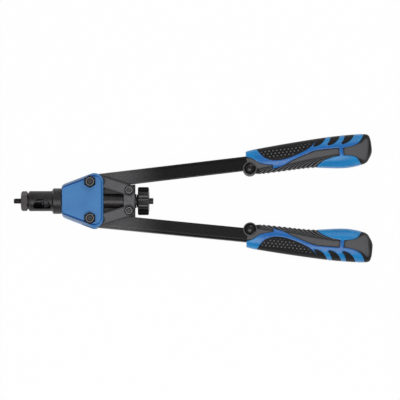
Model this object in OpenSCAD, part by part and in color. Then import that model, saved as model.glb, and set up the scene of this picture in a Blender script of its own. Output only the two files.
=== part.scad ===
// Two-handed lever tool that pulls threaded rivet nuts tight.
// X runs along the pulling axis from the anvil face (x = 0) towards the handles,
// Y runs across the two arms, Z points up with the tool lying flat. Millimetres.

/* [Nose] */
// Thread diameter of the mandrel that the rivet nut is screwed on
mandrel_d = 5; // [4:0.5:6]
// How far the mandrel stands out of the anvil face with the handles closed
mandrel_reach = 6.6; // [5:0.2:12]
// Width across flats of the hexagon nosepiece
nosepiece_af = 16; // [15:0.5:18]
// Length of the hexagon of the nosepiece
nosepiece_len = 6.3; // [5:0.1:10]
// Outer diameter of the nose sleeve
sleeve_d = 18.8; // [18:0.2:21]
// Length of the nose sleeve that shows
sleeve_len = 21.5; // [20:0.5:30]
// Bore of the nose sleeve
sleeve_bore = 14.4; // [14.2:0.1:15]
// Length of the window in the sleeve
window_len = 16.6; // [12:0.2:17]
// Width of the window in the sleeve
window_w = 9.6; // [6:0.2:10]
// How far the slanted ends of the window lean in
window_lean = 1.8; // [0:0.1:2.5]
// Turn of the window away from straight up, in degrees
window_turn = 23; // [0:1:40]
// Diameter of the round lock collar
collar_d = 24; // [22:0.5:30]
// Length of the lock collar
collar_len = 9.1; // [6:0.1:12]

/* [Housing] */
// Length of the cast housing
housing_len = 38.9; // [36:0.1:50]
// Thickness of the cast housing
housing_t = 27; // [25:0.5:34]
// Width of the housing at its front end
front_w = 31.7; // [30:0.5:38]
// Width of the housing at its rear end
rear_w = 51; // [48:0.5:60]
// Radius of the front corners
front_r = 4.6; // [3:0.2:6]
// Radius of the rear corners
rear_r = 8.4; // [6:0.2:10]
// Width of the bevel along the slanted sides
side_bevel = 3.4; // [2:0.1:5]
// Width of the bevel along the rear edge
rear_bevel = 2.2; // [1:0.1:3]
// Depth of the bevels below the top and bottom faces
bevel_depth = 3.2; // [2:0.1:3.6]
// Distance of the arm pivots from the housing's rear end
pivot_inset = 12.4; // [10:0.2:13]
// Distance of each arm pivot from the pulling axis
pivot_y = 17.1; // [16.5:0.1:20]

/* [Linkage] */
// Diameter of the pivot bolts
bolt_d = 6; // [5:0.5:7]
// Width across flats of the pivot nuts and bolt heads
nut_af = 10; // [9:0.5:12]
// Distance from an arm pivot to its link pin
crank_r = 9.6; // [9.4:0.1:11]
// Distance between the two pins of a link
link_len = 28.1; // [26:0.1:34]
// Width of a link plate
link_w = 10.6; // [10:0.1:12]
// Thickness of a link plate
link_t = 2.5; // [2:0.1:3]
// Diameter of the link pins
pin_d = 5; // [4:0.1:5]
// Distance of each crosshead pin from the pulling axis
cross_y = 9.6; // [9.2:0.1:11]
// Length of the crosshead in front of its pins
cross_front = 5; // [4.5:0.1:8]
// Length of the crosshead behind its pins
cross_back = 5.9; // [5:0.1:9]
// Diameter of the draw tube
tube_d = 13.8; // [12.5:0.1:14]
// Diameter of the spindle inside the draw tube
spindle_d = 8; // [7:0.1:9]

/* [Knob] */
// Diameter over the lobes of the knob
knob_d = 26.2; // [22:0.2:32]
// Width of the knob
knob_w = 11; // [8:0.2:14]
// Number of lobes on the knob
knob_lobes = 6; // [5:1:8]
// Depth of the hollows between the lobes
lobe_depth = 1.9; // [1:0.1:2.5]
// Length of the shaft end behind the knob
stub_len = 3.5; // [2:0.1:6]
// Diameter of the shaft end behind the knob
stub_d = 5.6; // [5:0.1:6]

/* [Arms] */
// Angle of each closed arm to the pulling axis, in degrees
arm_angle = 6.2; // [6:0.1:9]
// Lean of both closed arms towards the upper side, in degrees
arm_skew = 0.6; // [0:0.1:0.8]
// How far the middle of each arm lies outside the line through its pivot
arm_mid = 0.7; // [0:0.1:1]
// Width of the arm channel
arm_w = 12.9; // [11.5:0.1:13]
// Thickness of the arm channel
arm_t = 13; // [12:0.1:13.5]
// Wall of the arm channel
arm_wall = 2.2; // [1.8:0.1:2.6]
// Length of the arm from its pivot to its end inside the grip
arm_len = 232; // [215:1:236]

/* [Grips] */
// Distance from the pivot to the front of the grip
grip_start = 147.3; // [140:0.5:152]
// Length of the grip
grip_len = 117.3; // [110:0.5:130]
// Wall of the blue core around the arm
core_wall = 1.5; // [1.2:0.1:1.8]
// How far the widest part of the grip stands out beyond the arm
grip_swell = 8.9; // [8:0.1:10]
// Diameter of the pin that keeps the grip on the arm
grip_pin_d = 4.4; // [4:0.1:5]

/* [Hidden] */
$fn = 64;

// Clearances
run_gap = 0.06;      // radial, turning or sliding fits
thread_gap = 0.03;   // radial, screwed or pressed fits
side_gap = 0.3;      // between faces that pass each other
stop_gap = 0.8;      // between the closed arms and the crosshead
link_slack = 1.25;   // radial, link plates on the arm's link pin
cut = 1;             // overshoot of every cut
recess = 1;          // depth of the collar's recess over the sleeve's end

// Stations along the pulling axis
seat_len = 1.2;
x_sleeve = nosepiece_len + seat_len;
x_collar = x_sleeve + sleeve_len;
x_housing = x_collar + collar_len;
pivot_back = housing_len - pivot_inset;
x_pivot = x_housing + pivot_back;
pin_b = [x_pivot + crank_r*cos(arm_angle), pivot_y + crank_r*sin(arm_angle)];
pin_c = [pin_b[0] + sqrt(link_len*link_len - pow(pin_b[1] - cross_y, 2)), cross_y];
x_cross = pin_c[0] - cross_front;
x_cross_end = pin_c[0] + cross_back;
washer_t = 1;
x_insert = x_cross_end + washer_t + side_gap;
cone_len = 1;
x_knob = x_insert + cone_len;
x_stub = x_knob + knob_w;

// Stack of plates across the thickness
link_z = arm_t/2 + side_gap;
slot_z = link_z + link_t + side_gap;
slot_front = pivot_back - arm_w/2 - 2*side_gap;
nut_h = 5;
head_h = 4;
bolt_proud = 1.3;

// Inside of the nose
thread_len = 10;
thread_step = 0.6;
sleeve_thread_d = sleeve_d - 2*thread_step;
spigot_len = 3.4;
latch_af = 11;
latch_len = 5.7;
hex_af = 8;
mandrel_hex_len = 4;
window_end_gap = 0.9;
x_window = x_collar - window_end_gap - window_len;
latch_back = 8.1;
hex_lead = 1.3;
hex_gap = 0.1;
x_latch = x_collar - latch_back;
x_mandrel_hex = x_latch - hex_lead;
x_spindle = x_mandrel_hex + mandrel_hex_len + hex_gap;
spring_len = 7.3;
spring_wire = 0.8;
spring_turns = 3.5;
x_spring = x_latch + latch_len + run_gap;
x_shoulder = x_spring + spring_len + run_gap;
shoulder_len = 2;
x_tube = x_shoulder + shoulder_len + side_gap;
tube_seat = 5;
spigot_wall = 1.3;
tube_spigot_d = spindle_d + 2*spigot_wall;
stud_d = 4.2;
stud_len = 8;
thread_end = 0.4;
edge_chamfer = 0.6;

// Pivot bush and pins
bush_d = 9;
pin_head_d = 8.5;
pin_head_h = 2;
insert_af = 10;
insert_depth = 8;
washer_d = 13.2;

// Cheeks of the crosshead beside the draw tube
cheek_len = 20;
cheek_half = 11.2;
cheek_t = 3;

// Grip shape in shares of grip_swell beyond the arm, along its length from 0 to 1
grip_outside = [[0, 0.5], [0.04, 0.58], [0.1, 0.66], [0.35, 0.855], [0.64, 1], [0.82, 0.98],
                [0.945, 0.87], [0.98, 0.72], [1, 0.2]];
grip_inside = [[0, 0.02], [0.03, 0.3], [0.07, 0.5], [0.12, 0.54], [0.25, 0.53], [0.5, 0.52], [0.62, 0.73],
               [0.72, 0.92], [0.8, 0.98], [0.9, 0.855], [0.95, 0.64], [0.98, 0.135], [1, -0.27]];
grip_over = [[0, 0.215], [0.05, 0.305], [0.25, 0.38], [0.5, 0.45], [0.75, 0.575], [0.9, 0.54],
             [0.97, 0.38], [1, 0.11]];
grip_rings = 26;
grip_sides = 28;
grip_power = 2.5;
crowd_front = 0.024;
crowd_back = 0.04;
core_front = 0.035;
core_back = 0.9;

// Two-colour pattern in shares of the grip's length and half width
band_outer = [[0.075, 1.2], [0.13, 0.3], [0.2, -0.12], [0.28, -0.2], [0.37, -0.07], [0.47, 0.22],
              [0.54, 0.58], [0.6, 1.2]];
band_tail = [[0.95, 1.2], [0.935, 0.75], [0.9, 0.42], [0.85, 0.26], [0.78, 0.2]];
band_inner = [[0.73, 0.22], [0.56, 0.16], [0.47, -0.05], [0.36, -0.35], [0.28, -0.65], [0.2, -0.78]];
band_step = [[0.205, -0.5], [0.11, -0.22], [0.035, 0.3], [-0.05, 0.5]];
band_corner = [[-0.05, 1.2]];
lens = [[0.53, -1.2], [0.57, -0.78], [0.64, -0.46], [0.73, -0.28], [0.8, -0.3], [0.87, -0.52], [0.91, -1.2]];
neck = [[0.74, -0.4], [0.77, -0.4], [0.77, 0.3], [0.74, 0.3]];
finger_left = [[0.537, 0.5], [0.562, 0.75], [0.583, 1.2]];
finger_right = [[0.665, 1.2], [0.63, 0.75], [0.59, 0.5], [0.545, 0.4]];
finger_pitch = 0.113;
fingers = 3;

// Grip pin beside the arm's inner edge
grip_pin_back = 2.2;
grip_pin_side = 1.6;
grip_pin_at = [grip_start + grip_pin_back, grip_pin_side - arm_w/2];
grip_boss_r = 6.5;
grip_boss_over = 3.4;
grip_boss_z = arm_t/2 + grip_boss_over;

// Value of a smooth curve through points at position s
function segment(pts, s, i = 0) = (i >= len(pts) - 2 || s < pts[i + 1][0]) ? i : segment(pts, s, i + 1);
function slope(pts, i) =
  let (a = max(i - 1, 0), b = min(i + 1, len(pts) - 1))
  (pts[b][1] - pts[a][1])/(pts[b][0] - pts[a][0]);
function curve(pts, s) =
  let (i = segment(pts, s), w = pts[i + 1][0] - pts[i][0], t = (s - pts[i][0])/w)
  pts[i][1]*(2*t*t*t - 3*t*t + 1) + pts[i + 1][1]*(3*t*t - 2*t*t*t)
  + w*(slope(pts, i)*(t*t*t - 2*t*t + t) + slope(pts, i + 1)*(t*t*t - t*t));

// Smooth path through a list of points
steps = 4;
function catmull(a, b, c, d, t) =
  0.5*(2*b + (c - a)*t + (2*a - 5*b + 4*c - d)*t*t + (3*b - a - 3*c + d)*t*t*t);
function path(p) = [
  for (i = [0:len(p) - 2], k = [0:steps - 1])
    catmull(p[max(i - 1, 0)], p[i], p[i + 1], p[min(i + 2, len(p) - 1)], k/steps),
  p[len(p) - 1]
];

// Grip edges at a share s of its length
function clamped(s) = min(max(s, 0), 1);
function edge_out(s) = arm_mid + arm_w/2 + grip_swell*curve(grip_outside, clamped(s));
function edge_in(s) = arm_mid - arm_w/2 - grip_swell*curve(grip_inside, clamped(s));
function grip_mid(s) = (edge_out(s) + edge_in(s))/2;
function grip_half(s) = (edge_out(s) - edge_in(s))/2;
function grip_high(s) = arm_t/2 + grip_swell*curve(grip_over, clamped(s));
function on_grip(p) = [grip_start + p[0]*grip_len, grip_mid(p[0]) + p[1]*grip_half(p[0])];

// One cross-section of the grip, a rounded box
function rounded(x) = sign(x)*pow(abs(x), 2/grip_power);
function grip_ring(s) = [
  for (k = [0:grip_sides - 1])
    let (a = 360*k/grip_sides)
    [grip_start + s*grip_len, grip_mid(s) + grip_half(s)*rounded(cos(a)), grip_high(s)*rounded(sin(a))]
];
function station(i) = let (t = i/(grip_rings - 1)) t - (t < 0.5 ? crowd_front : crowd_back)*sin(360*t);

module lengthwise(x) {
  translate([x, 0, 0]) rotate([0, 90, 0]) children();
}

module hexagon(af, h) {
  cylinder(d = af/cos(30), h = h, $fn = 6);
}

module upper_place() {
  translate([x_pivot, pivot_y, 0]) rotate([0, 0, arm_angle + arm_skew]) children();
}

module lower_place() {
  mirror([0, 1, 0]) translate([x_pivot, pivot_y, 0]) rotate([0, 0, arm_angle - arm_skew]) children();
}

module both_sides() {
  children();
  mirror([0, 1, 0]) children();
}

// Cast housing: the wide middle and the two narrower faces in one smooth body
module housing_body() {
  half = housing_t/2;
  lean = side_bevel/cos(atan((rear_w - front_w)/2/(housing_len - rear_r)));
  face_front_r = 0.7*front_r;
  face_rear_r = rear_r - rear_bevel;
  front_edge = 0.7;
  hull() both_sides() {
    translate([front_r, front_w/2 - front_r, bevel_depth - half])
      cylinder(r = front_r, h = housing_t - 2*bevel_depth, $fn = 32);
    translate([housing_len - rear_r, rear_w/2 - rear_r, bevel_depth - half])
      cylinder(r = rear_r, h = housing_t - 2*bevel_depth, $fn = 32);
    translate([front_edge + face_front_r, front_w/2 - lean - face_front_r, -half])
      cylinder(r = face_front_r, h = housing_t, $fn = 32);
    translate([housing_len - rear_bevel - face_rear_r, rear_w/2 - lean - face_rear_r, -half])
      cylinder(r = face_rear_r, h = housing_t, $fn = 32);
  }
}

module housing() {
  color("steelblue") difference() {
    translate([x_housing, 0, 0]) housing_body();
    translate([x_housing + slot_front, -rear_w, -slot_z]) cube([housing_len, 2*rear_w, 2*slot_z]);
    lengthwise(x_housing - cut) cylinder(d = sleeve_thread_d + 2*thread_gap, h = housing_len);
    both_sides() translate([x_pivot, pivot_y, -housing_t])
      cylinder(d = bolt_d + 2*thread_gap, h = 2*housing_t);
  }
}

// Slot outline that runs along x from 0, with slanted ends and corners of radius r
module slot_outline(l, w, r) {
  c = [[r, r - w/2], [l - r, r - w/2], [l - r - window_lean, w/2 - r], [r + window_lean, w/2 - r]];
  polygon(c);
  for (i = [0:3]) {
    a = c[i];
    b = c[(i + 1) % 4];
    out = r*[b[1] - a[1], a[0] - b[0]]/norm(b - a);
    polygon([a, a + out, b + out, b]);
    translate(a) circle(r = r);
  }
}

module nose_sleeve() {
  chamfer = 0.9;
  window_r = 2.6;
  x_end = x_housing + thread_len;
  color("dimgray") difference() {
    lengthwise(0) rotate_extrude() polygon([
      [sleeve_bore/2, x_sleeve], [sleeve_d/2 - chamfer, x_sleeve], [sleeve_d/2, x_sleeve + chamfer],
      [sleeve_d/2, x_collar + recess], [sleeve_thread_d/2, x_collar + recess], [sleeve_thread_d/2, x_end],
      [sleeve_bore/2, x_end]
    ]);
    rotate([window_turn, 0, 0]) translate([x_window, 0, 0])
      linear_extrude(sleeve_d) slot_outline(window_len, window_w, window_r);
  }
}

module lock_collar() {
  rim = 0.2;
  slope_len = 1.5;
  neck_d = sleeve_thread_d + 2*thread_gap;
  recess_d = sleeve_d + 2*thread_gap;
  color("dimgray") lengthwise(0) rotate_extrude() polygon([
    [recess_d/2, x_collar], [recess_d/2 + rim, x_collar], [collar_d/2, x_collar + slope_len],
    [collar_d/2, x_housing - edge_chamfer], [collar_d/2 - edge_chamfer, x_housing], [neck_d/2, x_housing],
    [neck_d/2, x_collar + recess + thread_gap], [recess_d/2, x_collar + recess + thread_gap]
  ]);
}

module nosepiece() {
  corner_d = nosepiece_af/cos(30);
  bevel = 1.1;
  face_rim = 2.9;
  face_d = mandrel_d + 2*face_rim;
  color("gray") difference() {
    union() {
      intersection() {
        lengthwise(0) rotate([0, 0, 30]) hexagon(nosepiece_af, nosepiece_len);
        lengthwise(0) rotate_extrude() polygon([
          [0, 0], [face_d/2, 0], [corner_d/2 - bevel, 0.45*bevel], [corner_d/2, 1.5*bevel],
          [corner_d/2, nosepiece_len - edge_chamfer], [corner_d/2 - 2*edge_chamfer, nosepiece_len],
          [0, nosepiece_len]
        ]);
      }
      lengthwise(nosepiece_len - seat_len) cylinder(d = nosepiece_af - edge_chamfer, h = 2*seat_len);
      lengthwise(x_sleeve - seat_len) cylinder(d = sleeve_bore - 2*thread_gap, h = spigot_len + seat_len);
    }
    lengthwise(-cut) cylinder(d = mandrel_d + 2*run_gap, h = x_sleeve + spigot_len + 2*cut);
  }
}

// Plain bearing that guides the draw tube in the housing
module tube_bush() {
  x_bush = x_housing + thread_len + side_gap;
  color("peru") lengthwise(x_bush) difference() {
    cylinder(d = sleeve_thread_d, h = slot_front - thread_len - side_gap);
    translate([0, 0, -cut]) cylinder(d = tube_d + 2*run_gap, h = housing_len);
  }
}

// Hexagon with one or both faces chamfered to a circle
module chamfered_hexagon(af, h, both) {
  r = af/2/cos(30);
  face_r = 0.41*af;
  drop = (r - face_r)*tan(30);
  intersection() {
    rotate([0, 0, 30]) hexagon(af, h);
    rotate_extrude() polygon([
      [0, 0], [both ? face_r : r, 0], [r, both ? drop : 0], [r, h - drop], [face_r, h], [0, h]
    ]);
  }
}

module pivot_bolts() {
  top = housing_t/2 + nut_h + bolt_proud;
  chamfer = 0.7;
  color("gray") both_sides() translate([x_pivot, pivot_y, 0]) {
    rotate_extrude() polygon([
      [0, -housing_t/2], [bolt_d/2, -housing_t/2], [bolt_d/2, top - chamfer], [bolt_d/2 - chamfer, top],
      [0, top]
    ]);
    translate([0, 0, -housing_t/2]) mirror([0, 0, 1]) chamfered_hexagon(nut_af, head_h, false);
  }
}

module pivot_nuts() {
  color("gray") both_sides() translate([x_pivot, pivot_y, housing_t/2]) difference() {
    chamfered_hexagon(nut_af, nut_h, true);
    translate([0, 0, -cut]) cylinder(d = bolt_d + 2*thread_gap, h = nut_h + 2*cut);
  }
}

// Lateral place of an arm's inner edge, less the stop gap, at a station x
function stop_y(x) =
  pivot_y + (x - x_pivot)*tan(arm_angle) - (arm_w/2 - arm_mid + stop_gap)/cos(arm_angle);

// Block between the arms, with a thin cheek on each side of the draw tube
module crosshead() {
  corner = 2.4;
  side = [
    [x_cross, stop_y(x_cross) - corner], [x_cross + corner, stop_y(x_cross + corner)],
    [x_cross_end, stop_y(x_cross_end)]
  ];
  other_side = [for (i = [len(side) - 1:-1:0]) [side[i][0], -side[i][1]]];
  color("gray") difference() {
    union() {
      translate([0, 0, -arm_t/2]) linear_extrude(arm_t) polygon(concat(side, other_side));
      translate([x_cross - cheek_len, -cheek_half, -cheek_t/2])
        cube([cheek_len + corner, 2*cheek_half, cheek_t]);
    }
    lengthwise(x_cross - cheek_len - cut) cylinder(d = tube_d + 2*thread_gap, h = cheek_len + cut);
    lengthwise(x_cross - cut) cylinder(d = tube_spigot_d + 2*thread_gap, h = tube_seat + cut);
    lengthwise(x_cross - cut) cylinder(d = spindle_d + 2*run_gap, h = cross_front + cross_back + 2*cut);
    both_sides() translate([pin_c[0], pin_c[1], -arm_t]) cylinder(d = pin_d + 2*thread_gap, h = 2*arm_t);
  }
}

// Tube that slides in the housing, with a spigot seated in the crosshead
module draw_tube() {
  chamfer = 0.6;
  bore = spindle_d + 2*run_gap;
  color("dimgray") lengthwise(0) rotate_extrude() polygon([
    [bore/2, x_tube], [tube_d/2 - chamfer, x_tube], [tube_d/2, x_tube + chamfer], [tube_d/2, x_cross],
    [tube_spigot_d/2, x_cross], [tube_spigot_d/2, x_cross + tube_seat], [bore/2, x_cross + tube_seat]
  ]);
}

// Riveted pins with a bevelled head above each link plate
module crosshead_pins() {
  z_head = link_z + link_t + run_gap;
  top = z_head + pin_head_h;
  face_r = 0.55*pin_head_d/2;
  rim = pin_head_h/4;
  color("gray") both_sides() translate([pin_c[0], pin_c[1], 0]) rotate_extrude() polygon([
    [0, -top], [face_r, -top], [pin_head_d/2, -z_head - rim], [pin_head_d/2, -z_head], [pin_d/2, -z_head],
    [pin_d/2, z_head], [pin_head_d/2, z_head], [pin_head_d/2, z_head + rim], [face_r, top], [0, top]
  ]);
}

module thrust_washer() {
  color("gray") lengthwise(x_cross_end) difference() {
    cylinder(d = washer_d, h = washer_t);
    translate([0, 0, -cut]) cylinder(d = spindle_d + 2*run_gap, h = washer_t + 2*cut);
  }
}

module spindle() {
  x_thread = x_insert - thread_gap;
  hex_end = x_spring + spring_wire;
  waist_d = hex_af - 2*side_gap;
  color("silver") difference() {
    union() {
      lengthwise(x_spindle) rotate([0, 0, window_turn]) hexagon(hex_af, hex_end - x_spindle);
      lengthwise(x_spindle) cylinder(d = waist_d, h = x_shoulder + shoulder_len - x_spindle);
      lengthwise(x_shoulder) cylinder(d = tube_d - 2*side_gap, h = shoulder_len);
      lengthwise(x_shoulder) cylinder(d = spindle_d, h = x_thread - x_shoulder);
      lengthwise(x_shoulder) cylinder(d = stub_d, h = x_stub + stub_len - x_shoulder);
    }
    lengthwise(x_spindle - cut) cylinder(d = stud_d + 2*thread_gap, h = stud_len + 2*cut);
  }
}

// Screwed stud, its hexagon and the short thread that enters the spindle
module mandrel() {
  tip = edge_chamfer;
  neck_r = stud_d/2;
  color("dimgray") {
    lengthwise(0) rotate_extrude() polygon([
      [0, -mandrel_reach], [mandrel_d/2 - tip, -mandrel_reach], [mandrel_d/2, tip - mandrel_reach],
      [mandrel_d/2, -thread_end], [neck_r, -thread_end], [neck_r, x_mandrel_hex + tip],
      [0, x_mandrel_hex + tip]
    ]);
    lengthwise(x_mandrel_hex) rotate([0, 0, window_turn]) hexagon(hex_af, mandrel_hex_len);
    lengthwise(x_mandrel_hex + mandrel_hex_len - tip) cylinder(d = stud_d, h = stud_len + tip);
  }
}

// Sliding hexagon ring that locks the mandrel's hexagon to the spindle's
module latch_ring() {
  color("gray") lengthwise(x_latch) rotate([0, 0, window_turn]) difference() {
    rotate([0, 0, 30]) chamfered_hexagon(latch_af, latch_len, true);
    translate([0, 0, -cut]) hexagon(hex_af + 2*run_gap, latch_len + 2*cut);
  }
}

// Coil of round wire swept along a helix
module latch_spring() {
  sides = 8;
  rings = 48;
  coil_r = latch_af/2 - spring_wire/2;
  rise = spring_len - spring_wire;
  points = [
    for (i = [0:rings], k = [0:sides - 1])
      let (a = 360*spring_turns*i/rings, r = coil_r + spring_wire/2*cos(360*k/sides))
      [x_spring + spring_wire/2 + rise*i/rings + spring_wire/2*sin(360*k/sides), r*cos(a), r*sin(a)]
  ];
  faces = [
    [for (k = [sides - 1:-1:0]) k],
    [for (k = [0:sides - 1]) rings*sides + k],
    for (i = [0:rings - 1], k = [0:sides - 1])
      let (n = (k + 1) % sides) [i*sides + k, i*sides + n, (i + 1)*sides + n, (i + 1)*sides + k]
  ];
  color("silver") polyhedron(points, faces);
}

module knob() {
  edge = 1.3;
  dome = 0.7;
  hollow_r = 6.5;
  color("#222222") lengthwise(x_knob) difference() {
    rotate_extrude() polygon([
      [0, 0], [knob_d/2 - edge, 0], [knob_d/2, edge], [knob_d/2, knob_w - dome - edge/2],
      [knob_d/2 - edge/2, knob_w - dome], [stub_d, knob_w], [0, knob_w]
    ]);
    for (i = [0:knob_lobes - 1]) rotate([0, 0, 180 + 360*i/knob_lobes])
      translate([knob_d/2 - lobe_depth + hollow_r, 0, -cut]) cylinder(r = hollow_r, h = knob_w + 2*cut);
    translate([0, 0, -cut]) hexagon(insert_af + 2*thread_gap, insert_depth + cut);
    translate([0, 0, -cut]) cylinder(d = stub_d + 2*thread_gap, h = knob_w + 2*cut);
  }
}

// Metal insert moulded into the knob, with a cone that bears on the thrust washer
module knob_insert() {
  color("dimgray") difference() {
    union() {
      lengthwise(x_insert) cylinder(d1 = washer_d, d2 = washer_d - 2*cone_len, h = cone_len);
      lengthwise(x_knob) hexagon(insert_af, insert_depth - thread_gap);
    }
    lengthwise(x_insert - cut) cylinder(d = stub_d + 2*thread_gap, h = insert_depth + cone_len + 2*cut);
  }
}

// Stamped channel, open towards the pulling axis, with two round ears at the pivot
module arm() {
  bend = 3;
  inside_t = arm_t - 2*arm_wall;
  web_start = arm_w/2;
  inner = arm_mid - arm_w/2;
  color("#303032") difference() {
    union() {
      translate([0, arm_mid, -arm_t/2]) cylinder(d = arm_w, h = arm_t);
      rotate([90, 0, 90]) linear_extrude(arm_len) {
        translate([inner, -arm_t/2]) square([arm_w - bend, arm_t]);
        translate([inner, bend - arm_t/2]) square([arm_w, arm_t - 2*bend]);
        for (z = [bend - arm_t/2, arm_t/2 - bend]) translate([inner + arm_w - bend, z]) circle(r = bend);
      }
    }
    translate([-arm_w, inner - arm_w, -inside_t/2]) cube([arm_len + 2*arm_w, 2*arm_w - arm_wall, inside_t]);
    translate([-arm_w, inner - arm_w, -inside_t/2]) cube([web_start + arm_w, 3*arm_w, inside_t]);
    translate([0, 0, -arm_t]) cylinder(d = bush_d + 2*thread_gap, h = 2*arm_t);
    translate([crank_r, 0, -arm_t]) cylinder(d = pin_d + 2*thread_gap, h = 2*arm_t);
    translate([grip_pin_at[0], grip_pin_at[1], -arm_t]) cylinder(d = grip_pin_d + 2*thread_gap, h = 2*arm_t);
  }
}

module pivot_bush() {
  color("peru") translate([0, 0, -arm_t/2]) difference() {
    cylinder(d = bush_d, h = arm_t);
    translate([0, 0, -cut]) cylinder(d = bolt_d + 2*run_gap, h = arm_t + 2*cut);
  }
}

module link_pin() {
  reach = link_z + link_t;
  color("gray") translate([crank_r, 0, -reach]) cylinder(d = pin_d, h = 2*reach);
}

// Two flat plates that join an arm's link pin to a crosshead pin
module links() {
  swing = atan2(pin_b[1] - pin_c[1], pin_b[0] - pin_c[0]);
  color("dimgray") translate([pin_c[0], pin_c[1], 0]) rotate([0, 0, swing])
    for (z = [link_z, -link_z - link_t]) translate([0, 0, z]) difference() {
      union() {
        cylinder(d = link_w, h = link_t);
        translate([link_len, 0, 0]) cylinder(d = link_w, h = link_t);
        translate([0, -link_w/2, 0]) cube([link_len, link_w, link_t]);
      }
      translate([0, 0, -cut]) cylinder(d = pin_d + 2*run_gap, h = link_t + 2*cut);
      translate([link_len, 0, -cut]) cylinder(d = pin_d + 2*link_slack, h = link_t + 2*cut);
    }
}

// Grip body lofted through its cross-sections
module grip_body() {
  n = grip_sides;
  points = [for (i = [0:grip_rings - 1]) each grip_ring(station(i))];
  faces = [
    [for (k = [0:n - 1]) k],
    [for (k = [n - 1:-1:0]) (grip_rings - 1)*n + k],
    for (i = [0:grip_rings - 2], k = [0:n - 1])
      let (m = (k + 1) % n) each [
        [i*n + k, (i + 1)*n + m, i*n + m],
        [i*n + k, (i + 1)*n + k, (i + 1)*n + m]
      ]
  ];
  polyhedron(points, faces);
}

// Outline of the blue part of the grip, seen from above
module pattern_outline() {
  difference() {
    polygon([for (p = concat(
      path(band_outer), path(band_tail), path(band_inner), path(band_step), band_corner)) on_grip(p)]);
    for (i = [0:fingers - 1]) polygon([
      for (p = concat(path(finger_left), path(finger_right))) on_grip(p + [i*finger_pitch, 0])
    ]);
  }
  polygon([for (p = path(lens)) on_grip(p)]);
  polygon([for (p = neck) on_grip(p)]);
}

module pattern() {
  translate([0, 0, -2*arm_t]) linear_extrude(4*arm_t) pattern_outline();
}

// Box around the arm inside the grip
module core_box(wall) {
  x0 = grip_start + core_front*grip_len;
  translate([x0, arm_mid - arm_w/2 - wall, -arm_t/2 - wall])
    cube([(core_back - core_front)*grip_len, arm_w + 2*wall, arm_t + 2*wall]);
}

module arm_pocket() {
  lead = 2*grip_boss_r;
  translate([grip_start - lead, arm_mid - arm_w/2 - thread_gap, -arm_t/2 - thread_gap])
    cube([arm_len - grip_start + lead + cut, arm_w + 2*thread_gap, arm_t + 2*thread_gap]);
}

module grip_pin_hole() {
  translate([grip_pin_at[0], grip_pin_at[1], -2*arm_t]) cylinder(d = grip_pin_d + 2*thread_gap, h = 4*arm_t);
}

module grip_core() {
  color("#2878be") difference() {
    union() {
      intersection() {
        grip_body();
        pattern();
      }
      core_box(core_wall);
    }
    arm_pocket();
    grip_pin_hole();
  }
}

module grip_cover() {
  color("#2c2c2e") difference() {
    union() {
      grip_body();
      translate([grip_pin_at[0], grip_pin_at[1], -grip_boss_z]) cylinder(r = grip_boss_r, h = 2*grip_boss_z);
    }
    pattern();
    core_box(core_wall);
    arm_pocket();
    grip_pin_hole();
  }
}

module grip_pin() {
  dome = 1.4;
  head_r = grip_pin_d;
  color("#2c2c2e") translate([grip_pin_at[0], grip_pin_at[1], 0]) rotate_extrude() polygon([
    [0, -grip_boss_z - dome], [head_r - dome, -grip_boss_z - dome], [head_r, -grip_boss_z],
    [grip_pin_d/2, -grip_boss_z], [grip_pin_d/2, grip_boss_z], [head_r, grip_boss_z],
    [head_r - dome, grip_boss_z + dome], [0, grip_boss_z + dome]
  ]);
}

housing();
nose_sleeve();
lock_collar();
nosepiece();
tube_bush();
pivot_bolts();
pivot_nuts();
crosshead();
draw_tube();
crosshead_pins();
thrust_washer();
spindle();
mandrel();
knob();
knob_insert();
latch_ring();
latch_spring();
upper_place() arm();  // upper_arm
upper_place() pivot_bush();  // upper_pivot_bush
upper_place() link_pin();  // upper_link_pin
upper_place() grip_core();  // upper_grip_core
upper_place() grip_cover();  // upper_grip_cover
upper_place() grip_pin();  // upper_grip_pin
lower_place() arm();  // lower_arm
lower_place() pivot_bush();  // lower_pivot_bush
lower_place() link_pin();  // lower_link_pin
lower_place() grip_core();  // lower_grip_core
lower_place() grip_cover();  // lower_grip_cover
lower_place() grip_pin();  // lower_grip_pin
links();  // upper_links
mirror([0, 1, 0]) links();  // lower_links
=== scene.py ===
# %% [markdown]
# # Dressing a rivet nut tool
# This lesson dresses a two-handed rivet nut tool. The construction comes from a packed
# frame, which fixes where every piece sits and how it moves. Here the steel, paint and
# moulded grips get the soft edges, threads, ribs and finishes that the real tool shows.

# %% Load the frame
import math

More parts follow.
